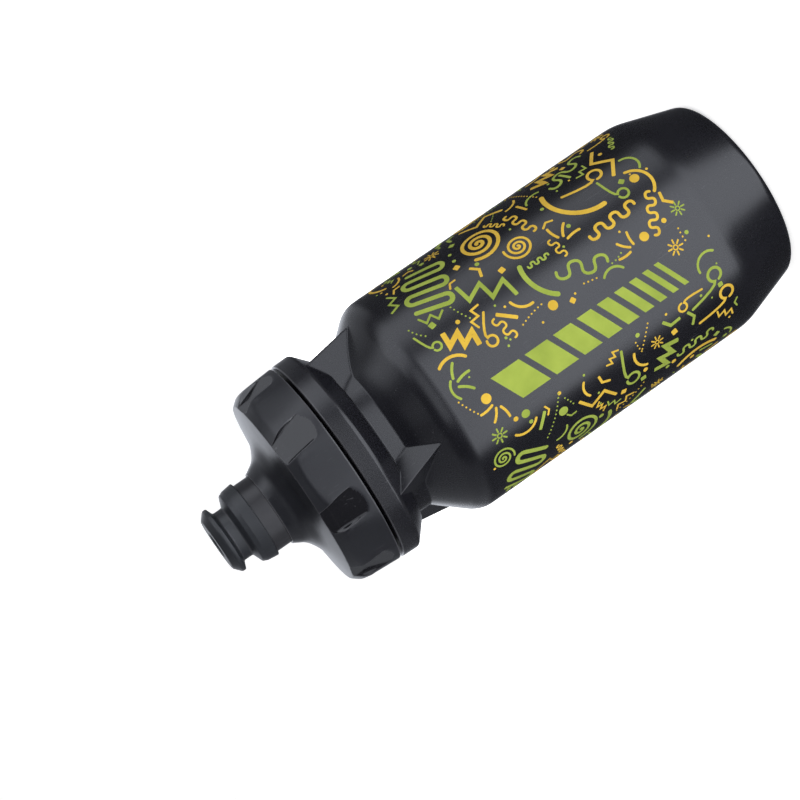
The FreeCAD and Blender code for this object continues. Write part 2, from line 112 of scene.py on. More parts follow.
def eased_in(count, power):
    """Fractions from 0 to 1, closer together near 1."""
    return 1 - (1 - np.linspace(0, 1, count + 1)) ** power


def soft_max(a, b, blend):
    """The larger of the two, with the crease between them filled over that blend."""
    near = np.clip(blend - np.abs(a - b), 0, None) / blend
    return np.maximum(a, b) + near**2 * blend / 4


def soft_min(a, b, blend):
    return -soft_max(-a, -b, blend)


# ------------------------ meshes


def ring(azimuths, r, z):
    """A ring of points. Azimuths are in degrees, and r and z are numbers or one for each azimuth."""
    a = np.radians(np.asarray(azimuths, dtype=float))
    r = np.broadcast_to(r, a.shape)
    z = np.broadcast_to(z, a.shape)
    return np.stack([r * np.cos(a), r * np.sin(a), z], axis=1)


def pole(z):
    return np.array([[0.0, 0.0, z]])


def skin(rings, cyclic=False):
    """Vertices and faces through rings of points of one length. A ring of one point closes an end."""
    starts = np.cumsum([0] + [len(r) for r in rings])
    faces = []
    pairs = [(i, i + 1) for i in range(len(rings) - 1)]
    if cyclic:
        pairs.append((len(rings) - 1, 0))
    for a, b in pairs:
        count = max(len(rings[a]), len(rings[b]))
        for j in range(count):
            k = (j + 1) % count
            if len(rings[a]) == 1:
                faces.append((starts[a], starts[b] + k, starts[b] + j))
            elif len(rings[b]) == 1:
                faces.append((starts[a] + j, starts[a] + k, starts[b]))
            else:
                faces.append((starts[a] + j, starts[a] + k, starts[b] + k, starts[b] + j))
    return np.concatenate(rings), [tuple(int(v) for v in face) for face in faces]


SHARP_ANGLE = 42.0
# The outward bend, as mark_wear measures it, where wear starts and where it is full.
WEAR_FROM = 90.0
WEAR_FULL = 790.0


def mark_wear(mesh):
    """Writes how sharply each point's surface turns outwards, for wear along the edges."""

    def read(source, name, width, kind=float):
        values = np.empty(len(source) * width, dtype=kind)
        source.foreach_get(name, values)
        return values.reshape(-1, width)

    place = read(mesh.vertices, "co", 3)
    normal = read(mesh.vertex_normals, "vector", 3)
    ends = read(mesh.edges, "vertices", 2, int)
    step = place[ends[:, 1]] - place[ends[:, 0]]
    square = np.maximum((step**2).sum(axis=1), 1e-12)
    turn = np.zeros(len(place))
    links = np.zeros(len(place))
    for side, sign in ((0, -1.0), (1, 1.0)):
        at = ends[:, side]
        bend = sign * (normal[at] * step).sum(axis=1) / square
        np.add.at(turn, at, bend)
        np.add.at(links, at, 1)
    turn = turn / np.maximum(links, 1)
    wear = mesh.attributes.new("wear", "FLOAT", "POINT")
    worn = np.clip((turn - WEAR_FROM) / (WEAR_FULL - WEAR_FROM), 0, 1)
    wear.data.foreach_set("value", worn.astype(np.float32))


def piece(name, parts, materials, body, node=None, indices=None):
    """One object from (vertices in mm, faces) parts. It rides on the body and replaces the node. The
    indices say which of the materials each face has."""
    places = []
    faces = []
    base = 0
    for vertices, part_faces in parts:
        places.append(np.asarray(vertices) * MM)
        faces.extend(tuple(v + base for v in face) for face in part_faces)
        base += len(vertices)
    mesh = bpy.data.meshes.new(name)
    mesh.from_pydata(np.concatenate(places).tolist(), [], faces)
    mesh.update()
    mesh.shade_smooth()
    mesh.set_sharp_from_angle(angle=math.radians(SHARP_ANGLE))
    mark_wear(mesh)
    for material in materials:
        mesh.materials.append(material)
    if indices is not None:
        mesh.polygons.foreach_set("material_index", indices)
    made = bpy.data.objects.new(name, mesh)
    bpy.context.scene.collection.objects.link(made)
    weighted = made.modifiers.new("even_shading", "WEIGHTED_NORMAL")
    weighted.keep_sharp = True
    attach(made, body)
    if node:
        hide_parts(node)


def lathe(corners, columns, step=9.0):
    """A closed ring-shaped solid: the outline of corners (r, z, radius), turned about the axis."""
    azimuths = np.arange(columns) * 360 / columns
    outline = rounded(corners, cyclic=True, step=step)
    return skin([ring(azimuths, r, z) for r, z in outline], cyclic=True)


THREAD_PITCH = 6.0
THREAD_ROOT_WIDTH = 3.0
THREAD_CREST_WIDTH = 1.6
THREAD_EDGE = 0.12
# The height of the corners beside the crest, as a share of the crest's.
THREAD_CORNER = 0.88
THREAD_STEP = 3.0
# Each end of a thread runs out over this part of a turn.
THREAD_RUN_OUT = 1 / 9
THREAD_LEAST_HEIGHT = 0.02


def thread(root_r, crest_r, low, rise, start):
    """A right-hand thread rib that starts at that azimuth, with both ends run out to nothing."""
    turns = rise / THREAD_PITCH
    count = int(turns * 360 / THREAD_STEP)
    half_root = THREAD_ROOT_WIDTH / 2
    half_crest = THREAD_CREST_WIDTH / 2
    rings = []
    for i in range(count + 1):
        t = i / count
        run_out = min(1.0, t * turns / THREAD_RUN_OUT, (1 - t) * turns / THREAD_RUN_OUT)
        full = math.sin(run_out * math.pi / 2)
        height = THREAD_LEAST_HEIGHT + (1 - THREAD_LEAST_HEIGHT) * full
        azimuth = math.radians(start + 360 * turns * t)
        middle = low + rise * t
        crest = root_r + (crest_r - root_r) * height
        corner = root_r + (crest_r - root_r) * height * THREAD_CORNER
        section = [
            (root_r, -half_root),
            (corner, -half_crest - THREAD_EDGE),
            (crest, -half_crest + THREAD_EDGE),
            (crest, half_crest - THREAD_EDGE),
            (corner, half_crest + THREAD_EDGE),
            (root_r, half_root),
        ]
        if crest_r < root_r:
            section.reverse()
        points = [(r * math.cos(azimuth), r * math.sin(azimuth), middle + z) for r, z in section]
        rings.append(np.array(points))
    vertices, faces = skin(rings)
    sides = len(rings[0])
    last = len(vertices) - sides
    faces.append(tuple(range(sides)))
    faces.append(tuple(last + k for k in reversed(range(sides))))
    return vertices, [tuple(reversed(face)) for face in faces]


# ------------------------ bottle

FIN_COUNT = 4
FIN_LEAN = 15.0
FIN_MIDDLE = -116.8
FIN_RIDGE_R = 33.9
FIN_SLOPE = 6.5 / 8.3
FIN_LOW_Z = 121.2
FIN_TOP_Z = 146.2
WAIST_R = 26.4
WAIST_LOW_Z = 134.0
WAIST_TOP_Z = 138.9
RING_R = 34.55
RING_TOP_R = 34.3
RING_TOP_Z = 150.1
NECK_R = 28.8
NECK_TOP_Z = 162.3
MOUTH_R = 27.0
FOOT_R = 22.0
BASE_EDGE_R = 30.0
BASE_EDGE_ROUND = 4.0
BASE_TOP_Z = 21.6
SHOULDER_Z = 122.1
PUSH_UP_Z = 4.0
PUSH_UP_EDGE_R = 18.0
PUSH_UP_EDGE_Z = 3.0

BOTTLE_SIDE = [
    (FOOT_R, 0.0, 0),
    (BASE_EDGE_R, 0.0, BASE_EDGE_ROUND),
    (BODY_R, BASE_TOP_Z, 20.0),
    (BODY_R, SHOULDER_Z, 10.0),
    (WAIST_R, WAIST_LOW_Z, 0.5),
    (WAIST_R, WAIST_TOP_Z, 0.15),
    (29.0, 139.4, 0.3),
    (RING_R, 144.3, 1.6),
    (RING_TOP_R, RING_TOP_Z, 0.5),
]
BOTTLE_UNDERSIDE = [
    (0, PUSH_UP_Z, 0),
    (PUSH_UP_EDGE_R, PUSH_UP_EDGE_Z, 1.2),
    (FOOT_R, 0, 1.2),
    (BASE_EDGE_R, 0.0, BASE_EDGE_ROUND),
    (BODY_R, BASE_TOP_Z, 0),
]
# The top of the ring, the neck and the inside, down to the middle of the floor.
BOTTLE_INSIDE = [
    (RING_TOP_R, RING_TOP_Z, 0.5),
    (NECK_R, RING_TOP_Z, 0.4),
    (NECK_R, NECK_TOP_Z, 0.4),
    (MOUTH_R, NECK_TOP_Z, 0.4),
    (MOUTH_R, 142.0, 1.5),
    (24.9, 138.9, 1.5),
    (24.9, 133.8, 1.5),
    (35.5, 121.6, 8.8),
    (35.5, 21.6, 18.0),
    (29.1, 1.4, 2.8),
    (21.4, 1.4, 1.0),
    (17.4, 4.4, 1.0),
    (0.0, 5.4, 0),
]
# Heights between which the bottle's rows are close together, because its outline bends there.
BASE_BEND = (18.3, 25.0)
SHOULDER_BEND = (118.0, 124.95)
RING_BEND = (143.75, 145.1)
RING_SIDE_Z = 146.5
# Farther from the axis than this, the outline below the shoulder is the bottle's side.
SIDE_FROM_R = 29.0
# Each fin comes out of the shoulder above the first height and runs into the ring below the second.
FIN_SEEN = (124.0, 143.9)
# A fin's sides are worked out from this far below its low end, which is inside the shoulder.
FIN_BELOW = 1.0
# A fin's columns go down its flank by these fractions of the way from the ridge to the foot.
FLANK = [0, 0.02, 0.05, 0.09, 0.15, 0.23, 0.32, 0.41, 0.5, 0.59, 0.68, 0.77, 0.85, 0.91, 0.96]
FIN_BLEND = 0.45
RIDGE_BLEND = 0.28


def fin_offset(z):
    """How far a fin's section has moved sideways from its low end at height z, outwards and along."""
    lean = math.radians(FIN_LEAN)
    t = np.clip((z - FIN_LOW_Z) / (FIN_TOP_Z - FIN_LOW_Z), 0, 1)
    return FIN_RIDGE_R * (math.cos(lean) - 1) * t, -FIN_RIDGE_R * math.sin(lean) * t


def fin_r(angle, z):
    """A fin's radius at this angle from its own low azimuth, in degrees, and this height."""
    out, side = fin_offset(z)
    a = np.radians(angle)
    reach = FIN_SLOPE * (FIN_RIDGE_R + out)
    left = (reach + side) / np.maximum(np.sin(a) + FIN_SLOPE * np.cos(a), 1e-6)
    right = (reach - side) / np.maximum(-np.sin(a) + FIN_SLOPE * np.cos(a), 1e-6)
    within = (np.asarray(z) > FIN_LOW_Z - FIN_BELOW) & (np.asarray(z) < FIN_TOP_Z)
    return np.where(within, soft_min(left, right, RIDGE_BLEND), 0.0)


def fin_angles(z):
    """The angles of a fin's two feet on the waist and of its ridge, from its own low azimuth."""
    out, side = fin_offset(z)
    ridge = np.degrees(np.arctan2(side, FIN_RIDGE_R + out))
    reach = FIN_SLOPE * (FIN_RIDGE_R + out)
    size = math.hypot(1, FIN_SLOPE)
    tilt = math.degrees(math.atan(FIN_SLOPE))
    high = np.degrees(np.arcsin(np.minimum((reach + side) / WAIST_R / size, 0.99))) - tilt
    low = tilt - np.degrees(np.arcsin(np.minimum((reach - side) / WAIST_R / size, 0.99)))
    return low, ridge, high


def from_fin(angle):
    """The same angle from the low azimuth of whichever fin is nearest."""
    back = 180 / FIN_COUNT + FIN_LEAN / 2
    return (angle + back) % (360 / FIN_COUNT) - back


def bottle_columns():
    """Each column of the bottle's mesh: which fin it belongs to, its stretch and its place there."""
    columns = []
    for fin in range(FIN_COUNT):
        columns += [(fin, "down", u) for u in FLANK]
        columns += [(fin, "between", u) for u in eased(46, 1.35)[:-1]]
        columns += [(fin, "up", u) for u in reversed(FLANK[1:])]
    return columns


def column_angle(column, z):
    """A column's angle from its fin at height z. The columns go down a fin's flank, across to the next
    fin and up that one's flank, so they follow the ridges and feet."""
    _, stretch, place = column
    low, ridge, high = fin_angles(z)
    if stretch == "down":
        return ridge + (high - ridge) * place
    if stretch == "between":
        return high + (low + 360 / FIN_COUNT - high) * place
    return 360 / FIN_COUNT + ridge + (low - ridge) * place


def bottle_rings():
    """The bottle's skin, from the middle of its underside, up the outside and down the inside."""
    outside = rounded(BOTTLE_SIDE, step=6.0)
    profile = along([(r, z) for r, z in outside if r > SIDE_FROM_R or z > SHOULDER_Z])
    columns = bottle_columns()
    fin_start = FIN_MIDDLE + FIN_LEAN / 2
    base = np.array([fin_start + column[0] * 360 / FIN_COUNT for column in columns])

    def azimuths(z):
        z = np.broadcast_to(z, base.shape)
        return base + np.array([column_angle(c, height) for c, height in zip(columns, z)])

    def surface(z):
        z = np.broadcast_to(z, base.shape)
        relative = azimuths(z) - base
        radius = soft_max(profile(z), fin_r(from_fin(relative), z), FIN_BLEND)
        return ring(azimuths(z), radius, z)

    def crossing(low, high):
        """For each column, the height where the fin and the turned profile cross."""
        a = np.full(base.shape, float(low))
        b = np.full(base.shape, float(high))
        for _ in range(26):
            middle = (a + b) / 2
            relative = azimuths(middle) - base
            above = fin_r(from_fin(relative), middle) > profile(middle)
            b = np.where(above, middle, b)
            a = np.where(above, a, middle)
        return (a + b) / 2

    fin_start_z = np.minimum(crossing(FIN_SEEN[0], WAIST_LOW_Z), WAIST_LOW_Z)
    fin_end_z = np.maximum(crossing(FIN_SEEN[1], WAIST_TOP_Z), WAIST_TOP_Z)

    rings = [pole(PUSH_UP_Z)]
    for r in (4.0, 9.0, 14.0):
        z = PUSH_UP_Z - (PUSH_UP_Z - PUSH_UP_EDGE_Z) * r / PUSH_UP_EDGE_R
        rings.append(ring(azimuths(0), r, z))
    underside = rounded(BOTTLE_UNDERSIDE)
    rings += [ring(azimuths(0), r, z) for r, z in underside[1:-1]]
    base_corner_z = underside[-2][1]
    rows = [
        (base_corner_z, BASE_BEND[0], 5),
        (BASE_BEND[0], BASE_BEND[1], 10),
        (BASE_BEND[1], SHOULDER_BEND[0], 14),
        (SHOULDER_BEND[0], SHOULDER_BEND[1], 15),
    ]
    for low, high, count in rows:
        rings += [surface(z) for z in np.linspace(low, high, count)[1:]]
    cone_z = SHOULDER_BEND[1]
    rings += [surface(cone_z + (fin_start_z - cone_z) * t) for t in eased_in(12, 2.0)[1:]]
    rings += [surface(fin_start_z + (fin_end_z - fin_start_z) * t) for t in eased(26, 1.5)[1:]]
    slope_z = RING_BEND[0]
    for t in (0.025, 0.07, 0.1, 0.16, 0.25, 0.4, 0.6, 0.8, 1.0):
        rings.append(surface(fin_end_z + (slope_z - fin_end_z) * t))
    rings += [surface(z) for z in np.linspace(RING_BEND[0], RING_BEND[1], 8)[1:]]
    start = (float(profile(RING_SIDE_Z)), RING_SIDE_Z, 0)
    inside = rounded([start] + BOTTLE_INSIDE)
    plain = azimuths(RING_SIDE_Z)
    rings += [ring(plain, r, z) for r, z in inside[:-1]]
    rings.append(pole(inside[-1][1]))
    return rings


def make_bottle(material):
    neck_thread = thread(28.4, 30.2, low=154.2, rise=6.6, start=0.0)
    parts = [skin(bottle_rings()), neck_thread]
    piece("bottle_shell", parts, [material], "bottle", "bottle_body")


# ------------------------ cap

GRIP_COUNT = 8
CAP_LOW_Z = low_z("cap_shell")
CAP_EDGE = 0.3
GRIP_TOP_Z = 166.2
LIP_R = 12.5
LIP_Z = 174.6
# The flats between the pockets: their heights, and their distances from the axis there.
FLAT_Z = [151.1, GRIP_TOP_Z]
FLAT_R = [34.35, 32.85]
FLAT_BLEND = 0.8
# The pockets: their floors' distance from the axis, and their reach to each side in millimetres.
FLOOR_Z = [152.0, 163.3, GRIP_TOP_Z]
FLOOR_R = [34.5, 31.85, 30.85]
FLOOR_BLEND = 0.12
LEFT_Z = [151.6, 167.2]
LEFT_REACH = [3.2, 4.9]
RIGHT_Z = [151.6, 159.0, 160.0, 161.0, 167.2]
RIGHT_REACH = [5.6, 4.69, 4.5, 4.26, 2.4]
# Those reaches become angles at this distance from the axis.
REACH_R = 33.2
# A pocket's walls spread this many times as wide as its columns' places say.
WALL_SPREAD = {"left": 2.6, "right": 1.3}
WALL_WIDTH = 0.3
WALL_INSIDE = 0.4
WALL_OUTSIDE = 0.65
# The pockets are polished where they are deeper than this.
POLISHED_FROM = 0.04

CAP_OUTSIDE = [
    (34.4, 150.0, 0),
    (34.0, 162.6, 5.0),
    (31.0, GRIP_TOP_Z, 0.45),
    (19.5, 167.9, 14.0),
    (14.4, 170.9, 6.5),
    (LIP_R, LIP_Z, 0.4),
]
# The roof's rows are the outline's own points between these heights.
ROOF_LOW_Z = 167.7
ROOF_TOP_Z = 174.3
# The lip, the guide tube, the plug ring that goes into the neck, and the inside of the skirt.
CAP_INSIDE = [
    (LIP_R, ROOF_TOP_Z, 0),
    (LIP_R, LIP_Z, 0.25),
    (11.85, LIP_Z, 0.25),
    (11.85, 166.2, 0.1),
    (12.65, 166.0, 0.1),
    (12.65, 157.2, 0.15),
    (14.1, 157.2, 0.15),
    (14.1, 168.4, 1.2),
    (25.5, 165.5, 1.2),
    (25.5, 160.2, 0.3),
    (26.7, 160.2, 0.3),
    (26.7, 164.3, 0.3),
    (30.6, 164.3, 0.3),
    (30.6, 151.1, 0.35),
    (34.0, 151.1, 0),
]
# Rows of the cap's mesh below the roof: the lowest, the highest and how many.
CAP_ROWS = [
    (151.6, 156.0, 18),
    (156.3, 162.9, 23),
    (163.1, 163.5, 5),
    (163.7, 165.8, 10),
    (165.9, 166.35, 9),
    (166.45, 167.6, 7),
]


def pocket_floor(z, angle):
    """The pocket's floor is flat across, and rises until it is flush with the skirt."""
    return float(np.interp(z, FLOOR_Z, FLOOR_R)) / math.cos(math.radians(angle))


def pocket_edges(z):
    """How far the pocket reaches to each side of its middle at height z, in millimetres."""
    return np.interp(z, LEFT_Z, LEFT_REACH), np.interp(z, RIGHT_Z, RIGHT_REACH)


def cap_columns():
    """Each column of the cap's mesh: which grip it belongs to, its stretch and its place there."""
    wall = [-WALL_INSIDE, -0.25, -0.15, -0.08, -0.02, 0.04, 0.1, 0.16, 0.22, 0.28]
    wall += [0.36, 0.48, WALL_OUTSIDE]
    columns = []
    for grip in range(GRIP_COUNT):
        columns += [(grip, "left", -w) for w in reversed(wall)]
        columns += [(grip, "floor", u) for u in np.linspace(0, 1, 9)[1:-1]]
        columns += [(grip, "right", w) for w in wall]
        columns += [(grip, "lobe", u) for u in np.linspace(0, 1, 22)[1:-1]]
    return columns


def cap_angle(column, z):
    """A column's angle from the middle of its pocket at height z, in degrees."""
    _, stretch, place = column
    left, right = pocket_edges(z)
    if stretch == "left":
        across = -left + place * WALL_SPREAD["left"]
    elif stretch == "right":
        across = right + place * WALL_SPREAD["right"]
    elif stretch == "floor":
        first = -left + WALL_INSIDE * WALL_SPREAD["left"]
        last = right - WALL_INSIDE * WALL_SPREAD["right"]
        across = first + (last - first) * place
    else:
        start = math.degrees(math.asin((right + WALL_OUTSIDE * WALL_SPREAD["right"]) / REACH_R))
        end = 360 / GRIP_COUNT
        end -= math.degrees(math.asin((left + WALL_OUTSIDE * WALL_SPREAD["left"]) / REACH_R))
        return start + (end - start) * place
    return math.degrees(math.asin(across / REACH_R))


def cap_radius(column, angle, z, profile):
    """The skirt's outside, and how deep the pocket is there. The outside is the turned profile, cut
    by the flats and by the slanted pockets."""
    _, stretch, place = column
    flat = np.interp(z, FLAT_Z, FLAT_R)
    from_flat = math.radians(angle - 180 / GRIP_COUNT)
    outer = float(soft_min(profile(z), flat / math.cos(from_flat), FLAT_BLEND))
    outside = {"left": -place, "right": place, "floor": -1.0, "lobe": 1.0}[stretch]
    wall = float(np.clip(outside / WALL_WIDTH, 0, 1))
    keep = wall * wall * (3 - 2 * wall)
    floor = float(soft_min(pocket_floor(z, angle), outer, FLOOR_BLEND))
    radius = floor + (outer - floor) * keep
    return radius, outer - radius


def make_cap(satin, gloss):
    outside = rounded(CAP_OUTSIDE, step=5.0)
    profile = along(outside)
    columns = cap_columns()
    base = np.array([(column[0] + 0.5) * 360 / GRIP_COUNT for column in columns])
    heights = [CAP_LOW_Z + CAP_EDGE * (1 - math.cos(a)) for a in np.radians([0, 20, 40, 60, 80])]
    for low, high, count in CAP_ROWS:
        heights += list(np.linspace(low, high, count))
    heights += [z for r, z in outside if ROOF_LOW_Z < z < ROOF_TOP_Z]
    heights = sorted(set(round(z, 4) for z in heights))
    rings = []
    depths = []
    for z in heights:
        angles = [cap_angle(column, min(z, GRIP_TOP_Z)) for column in columns]
        cut = np.array([cap_radius(c, a, z, profile) for c, a in zip(columns, angles)])
        depths.append(cut[:, 1])
        drop = max(0.0, CAP_LOW_Z + CAP_EDGE - z)
        edge = CAP_EDGE - math.sqrt(max(CAP_EDGE**2 - drop**2, 0))
        rings.append(ring(base + angles, cut[:, 0] - edge, z))
    plain = base + [cap_angle(column, GRIP_TOP_Z) for column in columns]
    rings += [ring(plain, r, z) for r, z in rounded(CAP_INSIDE, step=15.0)[:-1]]
    vertices, faces = skin(rings, cyclic=True)
    count = len(columns)
    polished = np.zeros(len(faces), dtype=np.int32)
    for row in range(len(heights) - 1):
        deep = (depths[row] > POLISHED_FROM) & (depths[row + 1] > POLISHED_FROM)
        polished[row * count:(row + 1) * count] = deep & np.roll(deep, -1)
    cap_thread = thread(31.0, 29.2, low=153.45, rise=7.0, start=135.0)
    polished = np.concatenate([polished, np.zeros(len(cap_thread[1]), dtype=np.int32)])
    parts = [(vertices, faces), cap_thread]
    piece("cap_moulding", parts, [satin, gloss], "cap", "cap_shell", polished)


# ------------------------ spout and seals

STEM_R = 11.75
STEM_BORE_R = 9.6
STEM_TOP_Z = 181.5
SPOUT_NECK_R = 7.2
SPOUT_COLUMNS = 144
GASKET_COLUMNS = 160
SEAL_MIDDLE_R = 11.12
SEAL_POINTS = 20


def make_carrier(material):
    top = top_z("spout_carrier")
    corners = [
        (STEM_BORE_R, 164.6, 0.2),
        (11.9, 164.6, 0.2),
        (12.3, 165.3, 0.15),
        (12.3, 165.8, 0.1),
        (STEM_R, 165.8, 0.1),
        (STEM_R, 171.15, 0.15),
        (10.42, 171.15, 0.15),
        (10.42, 172.85, 0.15),
        (STEM_R, 172.85, 0.15),
        (STEM_R, STEM_TOP_Z, 0.2),
        (SPOUT_NECK_R, STEM_TOP_Z, 0.2),
        (SPOUT_NECK_R, top, 0.2),
        (5.9, top, 0.2),
        (5.9, 180.0, 0.5),
        (STEM_BORE_R, 180.0, 0.8),
    ]
    stem = lathe(corners, SPOUT_COLUMNS)
    piece("spout_stem", [stem], [material], "spout", "spout_carrier")


def make_tip(material):
    top = top_z("bite_tip")
    corners = [
        (3.3, 189.7, 0.1),
        (3.3, 192.7, 0.4),
        (4.5, top, 0.35),
        (8.4, top, 0.9),
        (10.75, 191.5, 0.9),
        (10.75, 190.3, 0.35),
        (8.35, 189.3, 0.7),
        (8.35, 186.2, 0.7),
        (11.6, 184.9, 0.7),
        (12.3, 183.4, 0.6),
        (12.75, 179.8, 0.3),
        (STEM_R, 179.8, 0.05),
        (STEM_R, STEM_TOP_Z, 0.05),
        (SPOUT_NECK_R, STEM_TOP_Z, 0.05),
        (SPOUT_NECK_R, 189.7, 0.05),
    ]
    tip = lathe(corners, SPOUT_COLUMNS, step=7.0)
    piece("spout_mouthpiece", [tip], [material], "spout", "bite_tip")


def make_gasket(material):
    low = low_z("cap_gasket")
    top = top_z("cap_gasket")
    corners = [(MOUTH_R, low, 0.3), (30.3, low, 0.3), (30.3, top, 0.3), (MOUTH_R, top, 0.3)]
    washer = lathe(corners, GASKET_COLUMNS)
    piece("cap_seal_washer", [washer], [material], "gasket", "cap_gasket")


def make_seal(material):
    middle = (low_z("stem_seal") + top_z("stem_seal")) / 2
    section = (top_z("stem_seal") - low_z("stem_seal")) / 2
    corners = []
    for k in range(SEAL_POINTS):
        a = -2 * math.pi * k / SEAL_POINTS
        corners.append((SEAL_MIDDLE_R - section * math.cos(a), middle + section * math.sin(a), 0))
    seal = lathe(corners, SPOUT_COLUMNS)
    piece("stem_o_ring", [seal], [material], "spout", "stem_seal")


# ------------------------ printed pattern

PRINT_LOW_Z = 26.0
PRINT_TOP_Z = 116.5
# The film's inner face is sunk into the bottle's side by this much.
INK_SUNK = 0.05
STROKE_STEP = 1.1
MITRE_LIMIT = 0.35
BLUNT_ROUND = 0.3
PRINT_SEED = 41
TRIES = 60
GREEN_SHARE = 0.45


def evenly(points, gap):
    """The same polyline with its long stretches divided, so that it can wrap round the bottle."""
    out = [points[0]]
    for a, b in zip(points, points[1:]):
        pieces = max(1, math.ceil((b - a).length / gap))
        out += [a.lerp(b, k / pieces) for k in range(1, pieces + 1)]
    return out


def stroke_rows(points, width, blunt):
    """Rows across a stroke of the pen: (middle, sideways direction, half width) along the points. Its
    ends are round, or square with small rounded corners if it is blunt."""
    points = evenly(points, STROKE_STEP)
    rows = []
    count = len(points)
    for i, point in enumerate(points):
        back = (point - points[i - 1]).normalized() if i else None
        ahead = (points[i + 1] - point).normalized() if i < count - 1 else None
        way = (back + ahead).normalized() if back and ahead else back or ahead
        mitre = 1 / max(MITRE_LIMIT, (back or way).dot(way))
        rows.append((point, Vector((-way.y, way.x)), width / 2 * mitre))
    ends = []
    for sign, (point, side, half) in ((-1, rows[0]), (1, rows[-1])):
        way = Vector((side.y, -side.x)) * sign
        radius = min(BLUNT_ROUND, half) if blunt else half
        cap = []
        for a in np.radians([22, 45, 65, 80]):
            reach = half - radius + radius * math.cos(a)
            cap.append((point + way * radius * math.sin(a), side, reach))
        ends.append(cap)
    return list(reversed(ends[0])) + rows + ends[1]


def ink_patch(rows):
    """A thin closed film of ink on the bottle's side, from rows across a stroke."""
    widest = max(half for _, _, half in rows)
    across = max(2, math.ceil(2 * widest) + 1)
    outer = []
    inner = []
    for middle, side, half in rows:
        for k in range(across):
            spot = middle + side * half * (2 * k / (across - 1) - 1)
            a = math.radians(-90.0 - math.degrees(spot.x / BODY_R))
            for radius, layer in ((INK_R, outer), (BODY_R - INK_SUNK, inner)):
                layer.append((radius * math.cos(a), radius * math.sin(a), spot.y))
    count = len(outer)
    faces = []
    for i in range(len(rows) - 1):
        for k in range(across - 1):
            a = i * across + k
            quad = (a, a + 1, a + across + 1, a + across)
            faces.append(quad)
            faces.append(tuple(count + v for v in reversed(quad)))
    rim = list(range(across))
    rim += [i * across + across - 1 for i in range(1, len(rows))]
    rim += [(len(rows) - 1) * across + k for k in range(across - 2, -1, -1)]
    rim += [i * across for i in range(len(rows) - 2, 0, -1)]
    for a, b in zip(rim, rim[1:] + rim[:1]):
        faces.append((b, a, count + a, count + b))
    return np.array(outer + inner), faces


def arc(radius, start, end, steps=18):
    """Points along an arc about the origin, between two angles in degrees."""
    angles = [math.radians(start + (end - start) * k / steps) for k in range(steps + 1)]
    return [Vector((radius * math.cos(a), radius * math.sin(a))) for a in angles]


# Each doodle below takes the random generator and its own size in millimetres, and gives its strokes
# about the origin: (points, width, blunt).


def spiral(rng, size):
    turns = rng.uniform(2.3, 2.9)
    steps = int(turns * 26)
    points = []
    for k in range(steps + 1):
        t = k / steps
        a = math.radians(360 * turns * t)
        r = size * (0.06 + 0.94 * t**1.15)
        points.append(Vector((r * math.cos(a), r * math.sin(a))))
    return [(points, 0.17 * size, False)]


def meander(rng, size):
    """A tight snake of straight runs joined by half circles."""
    bends = rng.choice([3, 4, 5])
    gap = size * rng.uniform(0.42, 0.5)
    half = size * rng.uniform(0.45, 0.75)
    points = []
    for k in range(bends + 1):
        x = (k - bends / 2) * gap
        way = 1 if k % 2 == 0 else -1
        points += [Vector((x, -half * way)), Vector((x, half * way))]
        if k < bends:
            for step in range(1, 12):
                a = math.pi * step / 12
                bend_x = x + gap / 2 - gap / 2 * math.cos(a)
                bend_y = way * (half + gap / 2 * math.sin(a))
                points.append(Vector((bend_x, bend_y)))
    return [(points, gap * 0.42, False)]


def squiggle(rng, size):
    waves = rng.choice([2, 3])
    wave = 2 * size / waves
    points = []
    for k in range(waves * 22 + 1):
        t = k / (waves * 22)
        a = 2 * math.pi * waves * t
        x = (t - 0.5) * 2 * size - 0.09 * wave * math.sin(2 * a)
        points.append(Vector((x, 0.3 * wave * math.sin(a))))
    return [(points, 0.07 * size + 0.35, False)]


def zigzag(rng, size):
    legs = rng.choice([3, 4, 5])
    points = []
    for k in range(legs + 1):
        points.append(Vector(((k / legs - 0.5) * 2 * size, 0.3 * size * (1 if k % 2 else -1))))
    return [(points, 0.12 * size + 0.25, True)]


def steps_down(rng, size):
    """A chunky flight of slanted steps."""
    points = []
    x, y = -size * 0.75, size * 0.55
    for k in range(3):
        points += [Vector((x, y)), Vector((x + size * 0.62, y + size * 0.14))]
        x, y = x + size * 0.38, y - size * 0.5
    return [(points, 0.24 * size, True)]


def bow(rng, size):
    sweep = rng.uniform(70, 150)
    return [(arc(size, -sweep / 2, sweep / 2), 0.1 * size + 0.35, False)]


def loop_line(rng, size):
    """A small loop with a long bowed tail."""
    loop = arc(0.36 * size, 200, 520, 22)
    x, y = loop[0]
    tail = [Vector((x - 0.25 * size * k, y - 0.28 * size * k * k)) for k in (2.4, 1.8, 1.2, 0.6)]
    return [(tail + loop, 0.1 * size + 0.3, False)]


def burst(rng, size):
    """Eight short rays round a small ring."""
    hub = arc(0.27 * size, 0, 342, 18)
    strokes = [(hub, 0.16 * size, True)]
    for k in range(8):
        way = Vector((math.cos(k * math.pi / 4), math.sin(k * math.pi / 4)))
        strokes.append(([way * 0.5 * size, way * 0.9 * size], 0.2 * size, False))
    return strokes


def dots_line(rng, size):
    gap = 1.35
    count = int(2 * size / gap)
    bend = rng.uniform(-0.18, 0.18)
    strokes = []
    for k in range(count):
        x = (k - (count - 1) / 2) * gap
        spot = Vector((x, bend * x * x / size))
        strokes.append(([spot, spot + Vector((0.02, 0))], 0.55, False))
    return strokes


def dot(rng, size):
    return [([Vector((0, 0)), Vector((0.02, 0))], 2 * size, False)]


def tile(rng, size):
    return [([Vector((-size * 0.55, 0)), Vector((size * 0.55, 0))], 1.7 * size, True)]


def dash(rng, size):
    return [([Vector((-size, 0)), Vector((size, 0))], 0.38 * size, True)]


